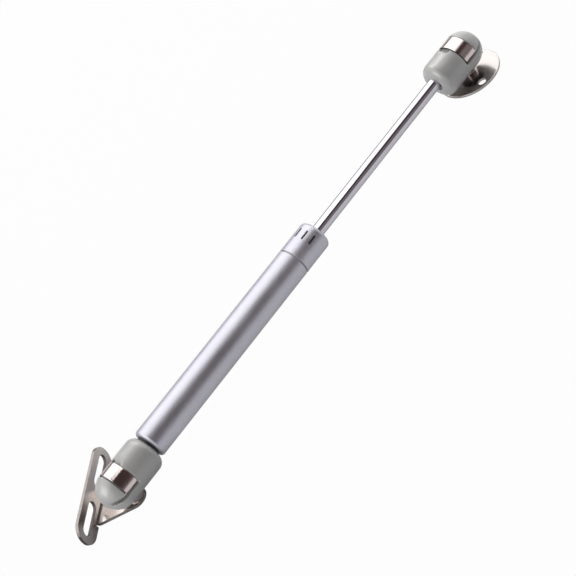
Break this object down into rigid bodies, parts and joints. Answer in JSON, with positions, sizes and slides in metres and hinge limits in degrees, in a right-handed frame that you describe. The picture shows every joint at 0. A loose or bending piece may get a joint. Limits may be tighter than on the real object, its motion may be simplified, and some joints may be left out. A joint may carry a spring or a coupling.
{
  "type": "gas strut",
  "caption": "Small gas strut for a furniture lid: steel tube and chromed rod with plastic ball sockets, on an angle bracket and a round plate.",
  "frame": {"origin": "centre of the round plate's screw holes, on its mounting face", "axes": "+X along the strut from the tube to the rod, +Z away from the mounting surface, +Y square to both"},
  "size_m": [0.2889, 0.0449, 0.021],
  "materials": {
    "tube_steel": "satin silver lacquer on steel",
    "chrome": "hard chrome, ground and polished",
    "socket_plastic": "satin moulded plastic, greenish grey",
    "clip_steel": "polished nickel on spring steel",
    "stud_steel": "nickel plated, turned",
    "plated_sheet": "nickel plated pressed sheet",
    "plug_steel": "turned, oiled",
    "piston_metal": "turned",
    "guide_plastic": "moulded, greased",
    "rubber": "moulded, greased"
  },
  "bodies": {
    "cylinder": {"tube": "tube_steel", "end_plug": "plug_steel", "plug_o_ring": "rubber", "guide_washer": "plug_steel", "guide_bush": "guide_plastic", "rod_seal": "rubber", "seal_support": "guide_plastic", "tube_end_socket": "socket_plastic"},
    "piston_ring": {"piston_ring": "guide_plastic"},
    "rod": {"rod": "chrome", "piston": "piston_metal", "piston_front_washer": "plug_steel", "piston_back_washer": "plug_steel", "rod_end_socket": "socket_plastic"},
    "tube_end_clip": {"tube_end_clip": "clip_steel"},
    "rod_end_clip": {"rod_end_clip": "clip_steel"},
    "tube_end_stud": {"tube_end_ball_stud": "stud_steel"},
    "rod_end_stud": {"rod_end_ball_stud": "stud_steel"},
    "angle_bracket": {"angle_bracket": "plated_sheet"},
    "round_plate": {"round_plate": "plated_sheet"}
  },
  "joints": [
    {"name": "rod_travel", "type": "slide", "parent": "cylinder", "child": "piston_ring", "axis": [1, 0, 0], "range_m": [-0.09, 0], "stiffness_N_per_m": 8, "springref_m": 0.05},
    {"name": "rod_spin", "type": "hinge", "parent": "piston_ring", "child": "rod", "pos_m": [-0.1, 0, 0.013], "axis": [1, 0, 0], "continuous": true},
    {"name": "tube_end_tilt", "type": "hinge", "parent": "cylinder", "child": "tube_end_stud", "pos_m": [-0.245, 0, 0.013], "axis": [0, 1, 0], "range_deg": [-8, 8]},
    {"name": "bracket_swivel", "type": "hinge", "parent": "tube_end_stud", "child": "angle_bracket", "pos_m": [-0.245, 0, 0.013], "axis": [0, 0, 1], "range_deg": [-50, 158]},
    {"name": "rod_end_tilt", "type": "hinge", "parent": "rod", "child": "rod_end_stud", "pos_m": [0, 0, 0.013], "axis": [0, 1, 0], "range_deg": [-8, 8]},
    {"name": "plate_swivel", "type": "hinge", "parent": "rod_end_stud", "child": "round_plate", "pos_m": [0, 0, 0.013], "axis": [0, 0, 1], "continuous": true},
    {"name": "tube_end_clip_release", "type": "slide", "parent": "cylinder", "child": "tube_end_clip", "axis": [0, 0, 1], "range_m": [0, 0.002], "stiffness_N_per_m": 60, "deforming": ["tube_end_clip"]},
    {"name": "rod_end_clip_release", "type": "slide", "parent": "rod", "child": "rod_end_clip", "axis": [0, 0, 1], "range_m": [0, 0.002], "stiffness_N_per_m": 60, "deforming": ["rod_end_clip"]}
  ]
}
